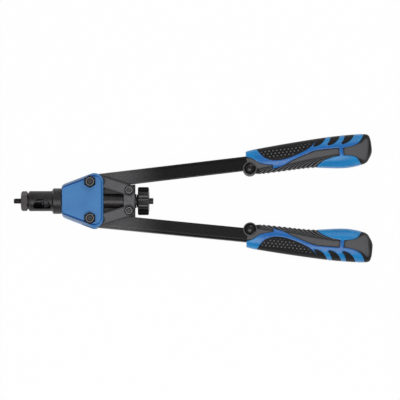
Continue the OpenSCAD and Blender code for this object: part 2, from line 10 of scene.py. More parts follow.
import bmesh
import bpy
import numpy as np
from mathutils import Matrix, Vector


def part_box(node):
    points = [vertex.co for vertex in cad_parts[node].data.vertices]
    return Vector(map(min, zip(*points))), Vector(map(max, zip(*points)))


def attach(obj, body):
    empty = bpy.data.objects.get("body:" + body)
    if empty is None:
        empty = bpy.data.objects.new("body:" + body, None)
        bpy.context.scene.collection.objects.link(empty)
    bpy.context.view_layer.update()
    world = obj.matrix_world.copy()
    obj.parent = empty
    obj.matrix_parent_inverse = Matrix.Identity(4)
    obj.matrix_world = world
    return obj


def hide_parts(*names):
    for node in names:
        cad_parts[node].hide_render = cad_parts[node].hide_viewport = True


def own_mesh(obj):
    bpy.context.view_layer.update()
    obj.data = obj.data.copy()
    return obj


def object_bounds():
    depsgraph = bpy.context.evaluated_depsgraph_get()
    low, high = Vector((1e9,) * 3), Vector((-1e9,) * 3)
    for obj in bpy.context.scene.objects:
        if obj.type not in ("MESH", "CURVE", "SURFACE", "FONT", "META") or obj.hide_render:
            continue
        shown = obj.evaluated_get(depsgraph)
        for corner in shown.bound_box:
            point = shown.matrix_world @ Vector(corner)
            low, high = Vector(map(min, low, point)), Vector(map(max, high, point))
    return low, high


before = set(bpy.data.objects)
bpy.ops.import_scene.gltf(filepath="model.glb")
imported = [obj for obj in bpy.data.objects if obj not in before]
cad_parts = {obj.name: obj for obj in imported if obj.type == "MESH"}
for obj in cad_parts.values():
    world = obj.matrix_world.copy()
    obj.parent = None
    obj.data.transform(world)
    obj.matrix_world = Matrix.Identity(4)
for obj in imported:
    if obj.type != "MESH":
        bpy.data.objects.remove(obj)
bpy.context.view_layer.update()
scene = bpy.context.scene
MM = 0.001


def middle(node):
    """Middle of a node's box, in metres."""
    low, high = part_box(node)
    return (np.array(low) + np.array(high)) / 2


# %% [markdown]
# ## The camera
# The photograph looks almost straight down on the tool through a long lens. A long lens far
# away keeps the two arms the same size, and the tilt of a few degrees towards the near arm
# gives the small upward shift that the tops of the bolts show.

# %% Camera
PHOTO_PIXELS = 400
MM_PER_PIXEL = 0.933
ANVIL_PIXEL_X = 20.9
AXIS_PIXEL_Y = 201.1
CAMERA_ELEVATION = math.radians(86.2)
CAMERA_LENS = 500.0
SENSOR = 36.0
CLIP_END = 20.0


def aim_camera():
    """Places the camera so that the anvil face and the pulling axis land on their pixels.

    One pixel is MM_PER_PIXEL wide, so the frame's width and the lens give the distance.
    """
    centre = Vector((
        (PHOTO_PIXELS / 2 - ANVIL_PIXEL_X) * MM_PER_PIXEL * MM,
        (AXIS_PIXEL_Y - PHOTO_PIXELS / 2) * MM_PER_PIXEL * MM,
        0.0,
    ))
    distance = PHOTO_PIXELS * MM_PER_PIXEL * MM * CAMERA_LENS / SENSOR
    back = Vector((0.0, -math.cos(CAMERA_ELEVATION), math.sin(CAMERA_ELEVATION)))
    camera = bpy.data.objects.new("camera", bpy.data.cameras.new("camera"))
    scene.collection.objects.link(camera)
    camera.data.lens = CAMERA_LENS
    camera.data.sensor_width = SENSOR
    camera.data.clip_end = CLIP_END
    camera.location = centre + back * distance
    camera.rotation_mode = "QUATERNION"
    camera.rotation_quaternion = (-back).to_track_quat("-Z", "Y")
    scene.camera = camera
    return distance


print("camera distance", round(aim_camera(), 3), "m")

# %% [markdown]
# ## Shader maths as sums
# A finish is easier to read as a sum than as a web of wires. This class wraps one socket of
# a node tree. Adding or multiplying two of them adds a Math node, and `node` adds any other.
# No cast or machined edge is perfectly sharp, and the thin bright line along it is what makes
# metal look real. A Bevel node turns the normals near an edge, so the solids keep their size.

# %% A socket that can be used in sums
EDGE_SAMPLES = 6
EDGE_TURN = (0.975, 0.999)
CLOUD = (0.3, 0.7)


class Socket:
    """A value that travels between shader nodes."""

    def __init__(self, tree, socket):
        self.tree = tree
        self.socket = socket

    def node(self, kind, settings=None, inputs=None, output=0):
        """Adds a node of a kind, sets it up, feeds its inputs and gives one output."""
        made = self.tree.nodes.new(kind)
        for name, value in (settings or {}).items():
            if name == "stops":
                for i, (place, colour) in enumerate(value):
                    if i > 1:
                        made.color_ramp.elements.new(place)
                    made.color_ramp.elements[i].position = place
                    made.color_ramp.elements[i].color = (*colour, 1.0)
            else:
                setattr(made, name, value)
        for name, value in (inputs or {}).items():
            if isinstance(value, Socket):
                self.tree.links.new(value.socket, made.inputs[name])
            else:
                made.inputs[name].default_value = value
        return Socket(self.tree, made.outputs[output])

    def maths(self, operation, *values):
        """A Math node that works on some values."""
        return self.node("ShaderNodeMath", {"operation": operation}, dict(enumerate(values)))

    def __add__(self, other):
        return self.maths("ADD", self, other)

    def __radd__(self, other):
        return self.maths("ADD", other, self)

    def __sub__(self, other):
        return self.maths("SUBTRACT", self, other)

    def __rsub__(self, other):
        return self.maths("SUBTRACT", other, self)

    def __mul__(self, other):
        return self.maths("MULTIPLY", self, other)

    def __rmul__(self, other):
        return self.maths("MULTIPLY", other, self)

    def unsigned(self):
        """This number without its sign."""
        return self.maths("ABSOLUTE", self)

    def larger(self, other):
        """The larger of two numbers."""
        return self.maths("MAXIMUM", self, other)

    def part(self, axis):
        """One of the three numbers of this vector."""
        return self.node("ShaderNodeSeparateXYZ", None, {0: self}, axis)

    def step(self, low, high):
        """0 below low, 1 above high, and a smooth rise between."""
        return self.node(
            "ShaderNodeMapRange",
            {"interpolation_type": "SMOOTHSTEP"},
            {"Value": self, "From Min": low, "From Max": high},
        )

    def mix(self, first, second):
        """A colour that goes from first to second as this value goes from 0 to 1."""
        return self.node(
            "ShaderNodeMix",
            {"data_type": "RGBA"},
            {0: self, 6: first, 7: second},
            output=2,
        )

    def tones(self, dark, light):
        """Two colours, clouded together by this noise."""
        return self.step(*CLOUD).mix(dark, light)

    def noise(self, scale, detail=2.0, roughness=0.5):
        """Cloudy noise read at this vector."""
        inputs = {"Vector": self, "Scale": scale, "Detail": detail, "Roughness": roughness}
        return self.node("ShaderNodeTexNoise", None, inputs)

    def stretch(self, scale):
        """The vector with each axis scaled, which draws noise out into streaks."""
        return self.node("ShaderNodeMapping", None, {"Vector": self, "Scale": scale})

    def bump(self, strength, distance, edge):
        """A normal that is dented by this height, with edges rounded by edge millimetres."""
        normal = self.node("ShaderNodeBevel", {"samples": EDGE_SAMPLES}, {"Radius": edge * MM})
        inputs = {"Height": self, "Strength": strength, "Distance": distance, "Normal": normal}
        return self.node("ShaderNodeBump", None, inputs)

    def edge_line(self, edge):
        """1 along an edge and 0 on flat ground: how far a Bevel node turns the normal there."""
        turned = self.node("ShaderNodeBevel", {"samples": EDGE_SAMPLES}, {"Radius": edge * MM})
        plain = self.node("ShaderNodeNewGeometry", output="Normal")
        dot = {"operation": "DOT_PRODUCT"}
        same = self.node("ShaderNodeVectorMath", dot, {0: turned, 1: plain}, "Value")
        return 1.0 - same.step(*EDGE_TURN)


def rgb(red, green, blue):
    """A colour as a screen shows it, 0 to 255, turned into the linear light a shader wants."""
    share = np.array([red, green, blue]) / 255.0
    linear = np.where(share <= 0.04045, share / 12.92, ((share + 0.055) / 1.055) ** 2.4)
    return (*linear.tolist(), 1.0)


def new_finish(name, **constants):
    """A material with its Principled shader, constants on the shader's own sockets.

    Gives the material, a Socket with Object coordinates and a function that feeds the shader.
    """
    material = bpy.data.materials.new(name)
    material.use_nodes = True
    tree = material.node_tree
    shader = tree.nodes["Principled BSDF"]
    for socket, value in constants.items():
        shader.inputs[socket.replace("_", " ")].default_value = value
    coordinates = Socket(tree, tree.nodes.new("ShaderNodeTexCoord").outputs["Object"])

    def feed(socket, value):
        tree.links.new(value.socket, shader.inputs[socket])

    return material, coordinates, feed


print("shader sums are ready")

# %% [markdown]
# ## The paint
# The head is a casting in glossy blue paint, which flows over the grain of the casting and
# leaves a faint orange peel. A painted shade darkens a thin line under the edges of the faces,
# and a painted sheen makes the bevels pale. This could be painted by hand on a picture, but the
# depth below a face tells it as well. A pair of numbers below is a soft border: the first place
# is before it, the second past it.

# %% Paint
HOUSING_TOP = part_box("housing")[1][2]
FACE_EDGE = (0.02 * MM, 0.08 * MM)
BEVEL_TOP = (1.2 * MM, 1.7 * MM)
BEVEL_FOOT = (2.9 * MM, 3.3 * MM)
PAINTED_SHEEN_UNTIL = (56 * MM, 68 * MM)
REAR_CORNER = (68 * MM, 73 * MM)


def blue_paint():
    """Glossy blue paint: faint clouds, an orange-peel dent and bands that follow the bevels.

    The bevels are told by their depth below the faces: a painted shade darkens a line under the
    edge of a face, fainter at the rear corners, and a painted sheen makes the rest of the bevels
    pale, in front of the rear corners.
    """
    shine = {"Coat_Roughness": 0.18, "Specular_IOR_Level": 0.3}
    material, at, feed = new_finish("blue_paint", **shine)
    x = at.part("X")
    depth = HOUSING_TOP - at.part("Z").unsigned()
    past_top = depth.step(*BEVEL_TOP)
    # Painted shade in a line under the face edges, and painted sheen on the bevels below it.
    painted_edge_shade = depth.step(*FACE_EDGE) * (1.0 - past_top)
    painted_edge_shade = painted_edge_shade * (1.0 - 0.45 * x.step(*REAR_CORNER))
    painted_bevel_sheen = past_top * (1.0 - depth.step(*BEVEL_FOOT)) * (1.0 - x.step(*PAINTED_SHEEN_UNTIL))
    clouds = at.noise(45.0, 3.0).tones(rgb(54, 121, 185), rgb(66, 133, 197))
    feed("Base Color", painted_bevel_sheen.mix(painted_edge_shade.mix(clouds, rgb(10, 72, 146)), rgb(130, 150, 176)))
    feed("Coat Weight", 0.2 * (1.0 - painted_edge_shade))
    feed("Roughness", 0.42 + 0.4 * painted_edge_shade)
    feed("Normal", at.noise(900.0, 2.0).bump(0.12, 0.0004, 0.4))
    return material


FINISH = {"paint": blue_paint()}
print("paint made for a housing that is", round(HOUSING_TOP / MM, 1), "mm high over the axis")

# %% [markdown]
# ## Turned and stamped steel
# The nose and draw tube are blackened steel, turned and then oiled, so fine rings show. Stamped
# plate is even. Painted shade darkens a line along the links' edges, and the necks beside the nose
# and at the rear of the draw tube. A picture of steel could be wrapped round each piece. Noise
# drawn out along one axis has no seam, and it stays put when a piece moves.

# %% Steel
NECK_LENGTH = 1.6 * MM
NOSE_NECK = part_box("nose_sleeve")[0][0] - NECK_LENGTH
TUBE_NECK = 95 * MM
NECK_BLUR = 0.3 * MM
# The colour of painted shade along plate edges and in necks.
PAINTED_SHADE = rgb(18, 17, 18)
GRAIN_SCALE = 2000.0
GRAIN_STRENGTH = 0.15
GRAIN_DEPTH = 0.2 * MM


def fine_grain(at, edge):
    """The faint even grain of a phosphate or coated skin, with edges rounded by edge."""
    return at.noise(GRAIN_SCALE, 2.0).bump(GRAIN_STRENGTH, GRAIN_DEPTH, edge)


def steel(name, dark, light, roughness, metallic, streak, edge, line=0.0, neck=None):
    """Steel skin: two tones clouded together, with streaks along the turning marks.

    A painted shade of some width, line, darkens the edges of a stamped plate, where shade falls
    between it and its neighbours. From some place along the axis on, neck, painted shade darkens a
    turned neck between two parts.
    """
    material, at, feed = new_finish(name, Metallic=metallic)
    clouds = at.noise(120.0, 4.0, 0.6)
    marks = at.stretch(streak).noise(1.0, 3.0, 0.6)
    tone = (clouds * 0.6 + marks * 0.4).step(*CLOUD)
    skin = tone.mix(rgb(*dark), rgb(*light))
    # Painted shade along the plate's edges and in the neck.
    if line:
        skin = at.edge_line(line).mix(skin, PAINTED_SHADE)
    if neck:
        skin = at.part("X").step(neck, neck + NECK_BLUR).mix(skin, PAINTED_SHADE)
    feed("Base Color", skin)
    feed("Roughness", tone * 0.14 + roughness)
    height = marks * 0.5 + at.noise(GRAIN_SCALE, 2.0) * 0.5
    feed("Normal", height.bump(GRAIN_STRENGTH, GRAIN_DEPTH, edge))
    return material


print("steel ready, necks at", round(NOSE_NECK / MM, 1), "and", round(TUBE_NECK / MM, 1), "mm")

# %% [markdown]
# ## Coats and rings
# The arms are coated black, and lighter grey nearer the pivots. Nuts and rivets show dark and
# bright rings: the bright rings are painted highlights on chamfers and rims, and the dark rings
# round a bolt's end and round each rivet head are painted shade. Every ring could be a piece of
# its own, but tones by distance from the axis follow the turned faces just as well.

# %% Coated and ringed steel
PIVOT_GREY_SPAN = (88 * MM, 136 * MM)
BLOCK_SIDE = (12.8 * MM, 13.4 * MM)
BLOCK_FRONT = (95.9 * MM, 96.3 * MM)
BLOCK_REAR = (105.6 * MM, 106.2 * MM)


def arm_coat():
    """Black coat on the stamped arms, lighter grey nearer the pivots."""
    material, at, feed = new_finish("arm_coat", Roughness=0.32, Specular_IOR_Level=0.14)
    grain = at.noise(900.0, 3.0, 0.6)
    coat = grain.tones(rgb(8, 8, 9), rgb(20, 20, 22))
    pivot_grey = grain.tones(rgb(74, 73, 75), rgb(94, 93, 95))
    feed("Base Color", at.part("X").step(*PIVOT_GREY_SPAN).mix(pivot_grey, coat))
    feed("Normal", fine_grain(at, 0.6))
    return material


def crosshead_steel():
    """Grey phosphate on the block between the links, with painted shade: dark on the cheeks in front
    of the block, and near black beside and behind it.
    """
    material, at, feed = new_finish("crosshead_steel", Roughness=0.45, Metallic=0.3)
    block = at.noise(400.0, 3.0, 0.6).tones(rgb(82, 81, 84), rgb(102, 101, 104))
    # Painted shade on the cheeks below the links, and beside and behind the block.
    block_and_shaded_cheeks = at.part("X").step(*BLOCK_FRONT).mix(rgb(50, 47, 49), block)
    aside = at.part("Y").unsigned().step(*BLOCK_SIDE)
    dark = aside.larger(at.part("X").step(*BLOCK_REAR))
    feed("Base Color", dark.mix(block_and_shaded_cheeks, rgb(22, 21, 22)))
    feed("Normal", fine_grain(at, 0.35))
    return material


def ringed_steel(name, axis, reach, rings):
    """Steel turned on an upright axis: tones in rings, set by the distance from that axis.

    The distance is the root of two squares over the reach. The place across the tool loses its
    sign first, so the same rings serve both sides. The rings carry painted highlights and painted
    shade as well as the steel's own tones.
    """
    dull = {"Metallic": 0.15, "Roughness": 0.42, "Specular_IOR_Level": 0.3}
    material, at, feed = new_finish(name, **dull)
    x = (at.part("X") - axis[0]) * (1.0 / reach)
    y = (at.part("Y").unsigned() - axis[1]) * (1.0 / reach)
    squares = x * x + y * y
    away = squares.maths("SQRT", squares)
    stops = [(place * MM / reach, rgb(tone, tone - 2, tone)[:3]) for place, tone in rings]
    feed("Base Color", away.node("ShaderNodeValToRGB", {"stops": stops}, {"Fac": away}))
    feed("Normal", fine_grain(at, 0.15))
    return material


FINISH["arm_coat"] = arm_coat()
FINISH["crosshead_steel"] = crosshead_steel()
print("coats made:", ", ".join(FINISH))

# %% [markdown]
# ## One table for the steels
# The remaining steels differ only in their numbers, so a function for each would repeat itself.
# The table gives the dark and light tone, roughness, metallic share, streaks and rounding of
# edges, and where there are any the width of the painted edge shade and the place where the
# painted neck shade starts.

# %% Table of steels
# Rings as radius in mm and tone: the bright rings on chamfers and rims are painted highlights, and the dark
# rings round a bolt's end and round each rivet head are painted shade.
BOLT_RINGS = [(0.0, 58), (2.2, 56), (2.4, 12), (3.0, 12), (3.15, 128), (3.7, 118), (4.0, 6), (5.8, 4)]
BOLT_REACH = 6.0 * MM
PIN_RINGS = [(0.0, 74), (1.6, 70), (1.9, 12), (2.5, 12), (2.65, 160), (3.15, 146), (3.3, 4), (4.3, 3)]
PIN_REACH = 4.5 * MM
PIN_BOX = np.array(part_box("crosshead_pins"))
PIN_R = (PIN_BOX[1, 0] - PIN_BOX[0, 0]) / 2
PIN_AXIS = (middle("crosshead_pins")[0], PIN_BOX[1, 1] - PIN_R)
TURNED = (2600.0, 90.0, 90.0)
EVEN = (500.0, 500.0, 500.0)
STEELS = {
    "black_steel": ((35, 33, 35), (53, 50, 52), 0.34, 0.35, TURNED, 0.3),
    "nose_steel": ((50, 47, 48), (78, 73, 74), 0.32, 0.4, TURNED, 0.3, 0.0, NOSE_NECK),
    "link_steel": ((76, 76, 79), (95, 94, 97), 0.4, 0.3, EVEN, 0.35, 2.8),
    "pin_steel": ((66, 64, 67), (92, 90, 93), 0.3, 0.5, EVEN, 0.25),
    "washer_steel": ((34, 31, 33), (62, 59, 61), 0.34, 0.4, EVEN, 0.2),
    "sleeve_steel": ((30, 28, 30), (48, 45, 47), 0.36, 0.35, TURNED, 0.3),
    "tube_steel": ((40, 38, 40), (60, 57, 59), 0.34, 0.35, TURNED, 0.3, 0.0, TUBE_NECK),
    "bronze": ((150, 112, 66), (184, 143, 92), 0.3, 0.9, TURNED, 0.2),
}
for name, values in STEELS.items():
    FINISH[name] = steel(name, *values)
FINISH["bolt_steel"] = ringed_steel("bolt_steel", middle("upper_pivot_bush"), BOLT_REACH, BOLT_RINGS)
FINISH["rivet_steel"] = ringed_steel("rivet_steel", PIN_AXIS, PIN_REACH, PIN_RINGS)
print("finishes:", ", ".join(FINISH))

# %% [markdown]
# ## Moulded plastic
# The knob is a hard black plastic with a fine spark-eroded skin. The grips are moulded in two
# shots, a blue core that shows through a black overmould. The two colours meet along a curve,
# so each grip carries its own attribute: how far a point lies inside the blue.

# %% Plastics
BLUE_EDGE = 0.14


def knob_plastic():
    """Hard black plastic with a fine even skin."""
    material, at, feed = new_finish("knob_plastic", Roughness=0.27, Specular_IOR_Level=0.42)
    feed("Base Color", at.noise(300.0, 3.0).tones(rgb(16, 16, 17), rgb(26, 26, 27)))
    feed("Normal", at.noise(2600.0, 2.0).bump(0.1, 0.0002, 0.3))
    return material


def grip_plastic():
    """Blue core and black overmould in one skin.

    The attribute `blue` is the distance into the blue in millimetres. `smooth` is painted sheen
    and painted highlight, which make the rubber grey on the plain band, the end pad and the tops of
    studs and ribs. `dark` is painted shade, 1 in the dents of the textured panels, and
    `painted_flank_light` is 1 on the sides and front, where a painted highlight makes the blue brighter.
    The rubber is matt, and the blue core has a gloss.
    """
    material, at, feed = new_finish("grip_plastic", Specular_IOR_Level=0.18, Coat_Roughness=0.22)

    def attribute(name):
        return at.node("ShaderNodeAttribute", {"attribute_name": name}, None, output=2)

    blue = attribute("blue").step(-BLUE_EDGE, BLUE_EDGE)
    smooth = attribute("smooth")
    dark = attribute("dark")
    # Painted sheen and painted highlights make the rubber grey, and painted shade darkens its dents.
    rubber = smooth.mix(rgb(26, 26, 28), rgb(122, 122, 125))
    rubber = (dark * 0.6).mix(rubber, rgb(12, 12, 13))
    # Painted light on the blue core: brighter on the sides and front, where light falls, and darker on top.
    bright = at.noise(70.0, 3.0).tones(rgb(18, 128, 195), rgb(30, 142, 209))
    core = attribute("painted_flank_light").mix(rgb(34, 109, 186), bright)
    feed("Base Color", blue.mix(rubber, core))
    feed("Coat Weight", blue * 0.4)
    feed("Roughness", 0.52 - blue * 0.2 + smooth * 0.02)
    feed("Normal", at.noise(2200.0, 2.0).bump(0.12, 0.0002, 0.2))
    return material


FINISH["knob"] = knob_plastic()
FINISH["grip"] = grip_plastic()
print("plastics made")

# %% [markdown]
# ## The hard pieces
# The cast and machined pieces already have their true shape as solids, so they only need their
# finish. A name says which finish a solid has on the real tool, and why it has it: bearings are
# bronze, what slides through the nose is blackened, and what is stamped is phosphated.

# %% Finishes of the solids
FINISH_OF = {
    "housing": "paint",
    "nose_sleeve": "sleeve_steel",
    "lock_collar": "black_steel",
    "nosepiece": "nose_steel",
    "tube_bush": "bronze",
    "pivot_bolts": "bolt_steel",
    "pivot_nuts": "bolt_steel",
    "crosshead": "crosshead_steel",
    "draw_tube": "tube_steel",
    "crosshead_pins": "rivet_steel",
    "thrust_washer": "washer_steel",
    "spindle": "black_steel",
    "knob_insert": "black_steel",
    "latch_ring": "pin_steel",
    "upper_links": "link_steel",
    "lower_links": "link_steel",
    "upper_arm": "arm_coat",
    "lower_arm": "arm_coat",
    "upper_pivot_bush": "bronze",
    "lower_pivot_bush": "bronze",
    "upper_link_pin": "pin_steel",
    "lower_link_pin": "pin_steel",
}
for node, finish in FINISH_OF.items():
    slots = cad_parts[node].data.materials
    slots.clear()
    slots.append(FINISH[finish])
print(len(FINISH_OF), "solids finished")

# %% [markdown]
# ## Surfaces on a grid
# The remaining pieces are surfaces of two parameters. numpy works out every point of the grid
# at once, and the faces are the same four-corner pattern each time. A ring that closes on
# itself wraps its last column round to its first, and a cap shrinks the last ring to a point.


# %% Grid surfaces
def grid_mesh(name, points, attributes=None):
    """A closed tube from an array of rings: rows along the piece, columns around it.

    The first and last rings are closed with a fan to their middle point.
    """
    rows, columns, _ = points.shape
    caps = np.stack([points[0].mean(axis=0), points[-1].mean(axis=0)])
    row, column = np.meshgrid(np.arange(rows - 1), np.arange(columns), indexing="ij")
    after = (column + 1) % columns
    quads = np.stack([
        row * columns + column, row * columns + after,
        (row + 1) * columns + after, (row + 1) * columns + column,
    ], axis=-1).reshape(-1, 4)
    around = np.arange(columns)
    first = np.stack([np.full(columns, rows * columns), (around + 1) % columns, around], axis=-1)
    last_row = (rows - 1) * columns
    last = np.stack([
        np.full(columns, rows * columns + 1), last_row + around, last_row + (around + 1) % columns,
    ], axis=-1)
    vertices = np.concatenate([points.reshape(-1, 3), caps])
    mesh = bpy.data.meshes.new(name)
    mesh.from_pydata(vertices.tolist(), [], quads.tolist() + first.tolist() + last.tolist())
    for label, values in (attributes or {}).items():
        ends = [values[0].mean(), values[-1].mean()]
        layer = mesh.attributes.new(label, "FLOAT", "POINT")
        layer.data.foreach_set("value", np.concatenate([values.reshape(-1), ends]).astype(np.float32))
    mesh.update()
    work = bmesh.new()
    work.from_mesh(mesh)
    bmesh.ops.recalc_face_normals(work, faces=work.faces)
    work.to_mesh(mesh)
    work.free()
    mesh.shade_smooth()
    return mesh


def grid_piece(name, points, body, finish, nodes, attributes=None, sharp=None):
    """Puts a grid surface in the scene on a body, in place of some nodes."""
    mesh = grid_mesh(name, points, attributes)
    mesh.materials.append(FINISH[finish])
    if sharp:
        mesh.set_sharp_from_angle(angle=math.radians(sharp))
    piece = bpy.data.objects.new(name, mesh)
    scene.collection.objects.link(piece)
    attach(piece, body)
    if nodes:
        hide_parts(*nodes)
    return piece


print("grid helper ready")

# %% [markdown]
# ## The hand knob
# The knob has six lobes for the fingers. Its radius is a round profile along the axis, less a
# smooth dip that repeats six times around it. The dip fades where the rear face domes over.

# %% Knob
KNOB_LOBES = 6
LOBE_DEPTH = 2.5 * MM
LOBE_POWER = 1.5
KNOB_EDGE = 1.3 * MM
REAR_EDGE = 0.8 * KNOB_EDGE
KNOB_DOME = 0.7 * MM
DOME_END_R = 3.0 * MM
KNOB_COLUMNS = 240


def knob_surface():
    """Radius as a function of place along the axis and angle round it.

    Along the axis: a quarter round at the front edge, a straight wall, a smaller round and a
    shallow dome to the rear. Round it: the wall less depth * ((1 + cos 6a) / 2) ** LOBE_POWER,
    where the depth fades with the fourth power of the radius.
    """
    low, high = (np.array(corner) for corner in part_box("knob"))
    radius = (high[1] - low[1]) / 2
    width = high[0] - low[0]
    turn = np.linspace(0.0, math.pi / 2, 9)
    front_x = KNOB_EDGE * (1 - np.cos(turn))
    front_r = radius - KNOB_EDGE * (1 - np.sin(turn))
    rear_x = width - KNOB_DOME - REAR_EDGE + REAR_EDGE * np.sin(turn)
    rear_r = radius - REAR_EDGE * (1 - np.cos(turn))
    dome = np.linspace(0.0, 1.0, 12)[1:]
    dome_x = width - KNOB_DOME * (1 - dome) ** 2
    dome_r = (radius - REAR_EDGE) * (1 - dome) + DOME_END_R * dome
    inner = np.linspace(0.35, 0.95, 5)
    x = np.concatenate([np.zeros(len(inner)), front_x, rear_x, dome_x])
    r = np.concatenate([inner * front_r[0], front_r, rear_r, dome_r])
    angle = np.linspace(0.0, 2 * math.pi, KNOB_COLUMNS, endpoint=False)
    dip = ((1 + np.cos(KNOB_LOBES * angle)) / 2) ** LOBE_POWER
    depth = LOBE_DEPTH * np.clip(r / radius, 0, 1) ** 4
    ring = r[:, None] - depth[:, None] * dip[None, :]
    points = np.empty((len(x), len(angle), 3))
    points[..., 0] = low[0] + x[:, None]
    points[..., 1] = ring * np.sin(angle)[None, :]
    points[..., 2] = ring * np.cos(angle)[None, :]
    return points


grid_piece("hand_knob", knob_surface(), "spindle", "knob", ["knob"])
print("knob with", KNOB_LOBES, "lobes")

# %% [markdown]
# ## The mandrel's thread
# A rivet nut screws on the mandrel, so its stud carries a real thread. A thread is a ridge that
# climbs one pitch with each turn: the radius depends on place minus turns, folded to a
# triangle wave. Behind it the same surface swells to the hexagon that the latch ring holds.

# %% Mandrel
THREAD_PITCH = 0.8 * MM
THREAD_DEPTH = 0.4 * MM
THREAD_R = 2.5 * MM
TIP_CHAMFER = 0.8 * MM
THREAD_LENGTH = 17.0 * MM
HEX_FLAT = 8.0 * MM
HEX_LENGTH = 4.0 * MM
HEX_TURN = math.radians(23.0)
SHANK_LENGTH = 8.0 * MM
SHANK_R = 2.1 * MM
SHOULDER = 0.01 * MM


def mandrel_surface():
    """Radius from place x and angle a: a triangle wave of (x / pitch - a / turn) on the stud,
    then half the flat over the cosine of the angle from the nearest flat on the hexagon."""
    low, high = (np.array(corner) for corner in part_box("mandrel"))
    hex_end = high[0] - SHANK_LENGTH
    hex_start = hex_end - HEX_LENGTH
    x = np.unique(np.concatenate([
        np.arange(low[0], low[0] + THREAD_LENGTH, THREAD_PITCH / 10),
        np.linspace(low[0] + THREAD_LENGTH, hex_start, 6),
        [hex_start + SHOULDER, hex_end, hex_end + SHOULDER, high[0]],
    ]))
    angle = np.linspace(0.0, 2 * math.pi, 72, endpoint=False)
    X, A = np.meshgrid(x, angle, indexing="ij")
    phase = (X / THREAD_PITCH - A / (2 * math.pi)) % 1.0
    wave = np.clip(1.0 - np.abs(phase - 0.5) * 3.6, 0.0, 1.0)
    along = X - low[0]
    fade = np.clip((THREAD_LENGTH - along) / THREAD_PITCH, 0.0, 1.0)
    stud = THREAD_R - THREAD_DEPTH * wave * fade
    stud = np.minimum(stud, THREAD_R - TIP_CHAMFER + along)
    from_flat = (A + HEX_TURN + math.pi / 6) % (math.pi / 3) - math.pi / 6
    hexagon = HEX_FLAT / 2 / np.cos(from_flat)
    radius = np.where(X <= hex_start, stud, np.where(X <= hex_end, hexagon, SHANK_R))
    return np.stack([X, radius * np.sin(A), radius * np.cos(A)], axis=-1)


grid_piece("threaded_mandrel", mandrel_surface(), "spindle", "black_steel", ["mandrel"], sharp=40)
print("mandrel thread pitch", THREAD_PITCH / MM, "mm")

# %% [markdown]
# ## The latch spring
# A coil spring pushes the latch ring forward, inside the sleeve. A coil is a small circle carried
# along a helix. When the ring is slid back the real spring gets shorter; this piece is an even
# coil that fills the spring's box.

# %% Spring
SPRING_TURNS = 3.5
SPRING_WIRE = 0.8 * MM


def spring_surface(low, high):
    """A circle of the wire's radius, swept along a helix between two corners of a box.

    Place along the helix turns the circle about the axis and lifts it by an even climb.
    """
    wire_r = SPRING_WIRE / 2
    coil_r = high[2] - wire_r
    share = np.linspace(0.0, 1.0, 180)[:, None]
    angle = 2 * math.pi * SPRING_TURNS * share
    around = np.linspace(0.0, 2 * math.pi, 14, endpoint=False)[None, :]
    ring = coil_r + wire_r * np.cos(around)
    climb = low[0] + wire_r + (high[0] - low[0] - SPRING_WIRE) * share
    x = climb + wire_r * np.sin(around)
    return np.stack([x, ring * np.cos(angle), ring * np.sin(angle)], axis=-1)


spring_low, spring_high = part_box("latch_spring")
spring_points = spring_surface(spring_low, spring_high)
spring = grid_piece("coil_spring", spring_points, "spindle", "pin_steel", ["latch_spring"], sharp=50)
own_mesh(spring)

# %% [markdown]
# ## The grips
# A grip is a rounded box whose width and thickness swell along the arm. Everything on it is
# drawn in two numbers, how far along the arm and how far across it, measured from the arm's
# pivot. The curves below are the edges of the grip and of its two colours.

# %% Grip outline
GRIP_START = 147.3
GRIP_LENGTH = 117.3
GRIP_SWELL = 8.9
ARM_MID = 0.7
ARM_HALF_W = 6.45
ARM_HALF_T = 6.5
GRIP_POWER = 2.5
OUTSIDE = [(0, 0.5), (0.04, 0.58), (0.1, 0.66), (0.35, 0.855), (0.64, 1), (0.82, 0.98),
           (0.945, 0.88), (0.975, 0.8), (0.992, 0.62), (1, 0.34)]
INSIDE = [(0, 0.02), (0.03, 0.3), (0.07, 0.5), (0.12, 0.54), (0.25, 0.53), (0.5, 0.52), (0.62, 0.73),
          (0.72, 0.92), (0.8, 0.98), (0.9, 0.855), (0.95, 0.64), (0.98, 0.135), (1, -0.27)]
OVER = [(0, 0.215), (0.05, 0.305), (0.25, 0.38), (0.5, 0.45), (0.75, 0.575), (0.9, 0.54),
        (0.97, 0.38), (1, 0.11)]


def smooth_curve(points, s):
    """A cubic curve through the points, each slope taken from the point's two neighbours."""
    x, y = np.array(points, float).T
    before = np.maximum(np.arange(len(x)) - 1, 0)
    after = np.minimum(np.arange(len(x)) + 1, len(x) - 1)
    slope = (y[after] - y[before]) / (x[after] - x[before])
    s = np.clip(s, 0.0, 1.0)
    i = np.clip(np.searchsorted(x, s, side="right") - 1, 0, len(x) - 2)
    w = x[i + 1] - x[i]
    t = (s - x[i]) / w
    rest = y[i] * (2 * t**3 - 3 * t**2 + 1) + y[i + 1] * (3 * t**2 - 2 * t**3)
    return rest + w * (slope[i] * (t**3 - 2 * t**2 + t) + slope[i + 1] * (t**3 - t**2))


def grip_edges(s):
    """Middle, half width and half thickness of the grip at a share s of its length."""
    outer = ARM_MID + ARM_HALF_W + GRIP_SWELL * smooth_curve(OUTSIDE, s)
    inner = ARM_MID - ARM_HALF_W - GRIP_SWELL * smooth_curve(INSIDE, s)
    return (outer + inner) / 2, (outer - inner) / 2, ARM_HALF_T + GRIP_SWELL * smooth_curve(OVER, s)


def on_grip(points):
    """Shares of length and half width turned into millimetres along and across the arm."""
    s, t = np.array(points, float).T
    mid, half, _ = grip_edges(s)
    return np.stack([GRIP_START + s * GRIP_LENGTH, mid + t * half], axis=-1)


print("grip edges at its middle:", [round(float(v), 2) for v in grip_edges(np.array(0.5))])

